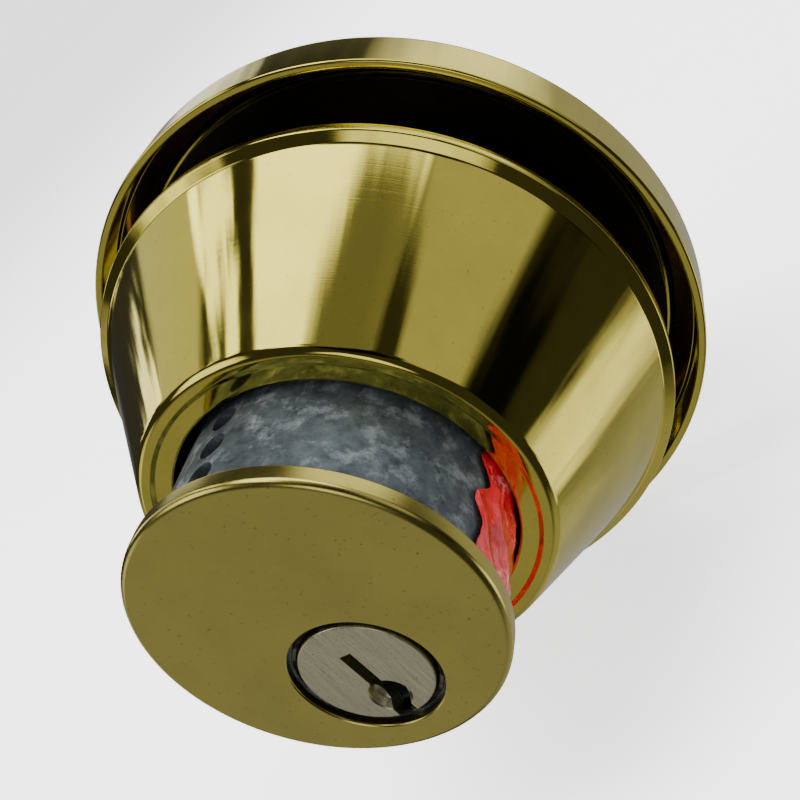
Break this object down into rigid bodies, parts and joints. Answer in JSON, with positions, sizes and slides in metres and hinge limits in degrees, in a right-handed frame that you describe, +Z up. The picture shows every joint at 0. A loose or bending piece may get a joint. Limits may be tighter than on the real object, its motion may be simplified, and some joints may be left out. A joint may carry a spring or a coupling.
{
  "type": "deadbolt door lock",
  "caption": "Polished brass single-cylinder deadbolt: keyed cylinder in a tapered collar, and a round rose with a lens-shaped thumbturn, nested on one tailpiece.",
  "frame": {"origin": "on the axis shared by key plug, tailpiece and thumbturn, in the plane of the rose's rear rim, where the room side half meets the door", "axes": "+Y along the lock axis towards the room side (thumbturn), -Y towards the street side (key plug), +Z up as installed, +X to the right seen from the street"},
  "size_m": [0.07, 0.0662, 0.07],
  "materials": {
    "polished_brass": "bright polished, lacquered",
    "satin_brass": "satin, faintly grained",
    "zinc": "raw die-cast zinc, mottled blue-grey",
    "steel": "plain steel",
    "chromated_steel": "iridescent yellow chromate on pressed steel",
    "red_film": "glossy, creased"
  },
  "bodies": {
    "inside_half": {"rose": "polished_brass", "rose_plate": "steel"},
    "thumbturn": {"thumb_turn": "satin_brass", "friction_washer": "steel", "retaining_ring": "steel"},
    "cylinder": {"face_cap": "polished_brass", "cylinder_body": "zinc", "film_wrap": "red_film", "chamber_cap_1": "steel", "chamber_cap_2": "steel", "chamber_cap_3": "steel", "chamber_cap_4": "steel", "chamber_cap_5": "steel", "pin_spring_1": "steel", "pin_spring_2": "steel", "pin_spring_3": "steel", "pin_spring_4": "steel", "pin_spring_5": "steel"},
    "plug": {"key_plug": "satin_brass", "plug_clip": "steel", "tail_cap": "steel"},
    "tail": {"tailpiece": "steel"},
    "plate": {"bore_plate": "chromated_steel"},
    "collar": {"collar": "polished_brass"},
    "driver_1": {"driver_pin_1": "steel"},
    "keypin_1": {"key_pin_1": "satin_brass"},
    "driver_2": {"driver_pin_2": "steel"},
    "keypin_2": {"key_pin_2": "satin_brass"},
    "driver_3": {"driver_pin_3": "steel"},
    "keypin_3": {"key_pin_3": "satin_brass"},
    "driver_4": {"driver_pin_4": "steel"},
    "keypin_4": {"key_pin_4": "satin_brass"},
    "driver_5": {"driver_pin_5": "steel"},
    "keypin_5": {"key_pin_5": "satin_brass"}
  },
  "joints": [
    {"name": "thumbturn_turn", "type": "hinge", "parent": "inside_half", "child": "thumbturn", "pos_m": [0, 0, 0], "axis": [0, 1, 0], "range_deg": [0, 90]},
    {"name": "door_thickness", "type": "slide", "parent": "inside_half", "child": "cylinder", "axis": [0, -1, 0], "range_m": [0, 0.028]},
    {"name": "plug_turn", "type": "hinge", "parent": "cylinder", "child": "plug", "pos_m": [0, 0, 0], "axis": [0, 1, 0], "range_deg": [-90, 90]},
    {"name": "tailpiece_turn", "type": "hinge", "parent": "cylinder", "child": "tail", "pos_m": [0, 0, 0], "axis": [0, 1, 0], "range_deg": [0, 90]},
    {"name": "collar_slide", "type": "slide", "parent": "cylinder", "child": "plate", "axis": [0, -1, 0], "range_m": [0, 0.0107]},
    {"name": "collar_spin", "type": "hinge", "parent": "plate", "child": "collar", "pos_m": [0, 0, 0.007], "axis": [0, 1, 0], "continuous": true},
    {"name": "driver_lift_1", "type": "slide", "parent": "cylinder", "child": "driver_1", "axis": [0, 0, 1], "range_m": [0, 0.0024], "stiffness_N_per_m": 40, "springref_m": -0.002, "deforming": ["pin_spring_1"]},
    {"name": "key_pin_drop_1", "type": "slide", "parent": "plug", "child": "keypin_1", "axis": [0, 0, -1], "range_m": [0, 0.001]},
    {"name": "driver_lift_2", "type": "slide", "parent": "cylinder", "child": "driver_2", "axis": [0, 0, 1], "range_m": [0, 0.0024], "stiffness_N_per_m": 40, "springref_m": -0.002, "deforming": ["pin_spring_2"]},
    {"name": "key_pin_drop_2", "type": "slide", "parent": "plug", "child": "keypin_2", "axis": [0, 0, -1], "range_m": [0, 0.001]},
    {"name": "driver_lift_3", "type": "slide", "parent": "cylinder", "child": "driver_3", "axis": [0, 0, 1], "range_m": [0, 0.0024], "stiffness_N_per_m": 40, "springref_m": -0.002, "deforming": ["pin_spring_3"]},
    {"name": "key_pin_drop_3", "type": "slide", "parent": "plug", "child": "keypin_3", "axis": [0, 0, -1], "range_m": [0, 0.001]},
    {"name": "driver_lift_4", "type": "slide", "parent": "cylinder", "child": "driver_4", "axis": [0, 0, 1], "range_m": [0, 0.0024], "stiffness_N_per_m": 40, "springref_m": -0.002, "deforming": ["pin_spring_4"]},
    {"name": "key_pin_drop_4", "type": "slide", "parent": "plug", "child": "keypin_4", "axis": [0, 0, -1], "range_m": [0, 0.001]},
    {"name": "driver_lift_5", "type": "slide", "parent": "cylinder", "child": "driver_5", "axis": [0, 0, 1], "range_m": [0, 0.0024], "stiffness_N_per_m": 40, "springref_m": -0.002, "deforming": ["pin_spring_5"]},
    {"name": "key_pin_drop_5", "type": "slide", "parent": "plug", "child": "keypin_5", "axis": [0, 0, -1], "range_m": [0, 0.001]}
  ],
  "couplings": [
    {"joint": "tailpiece_turn", "follows": "thumbturn_turn", "ratio": 1}
  ]
}
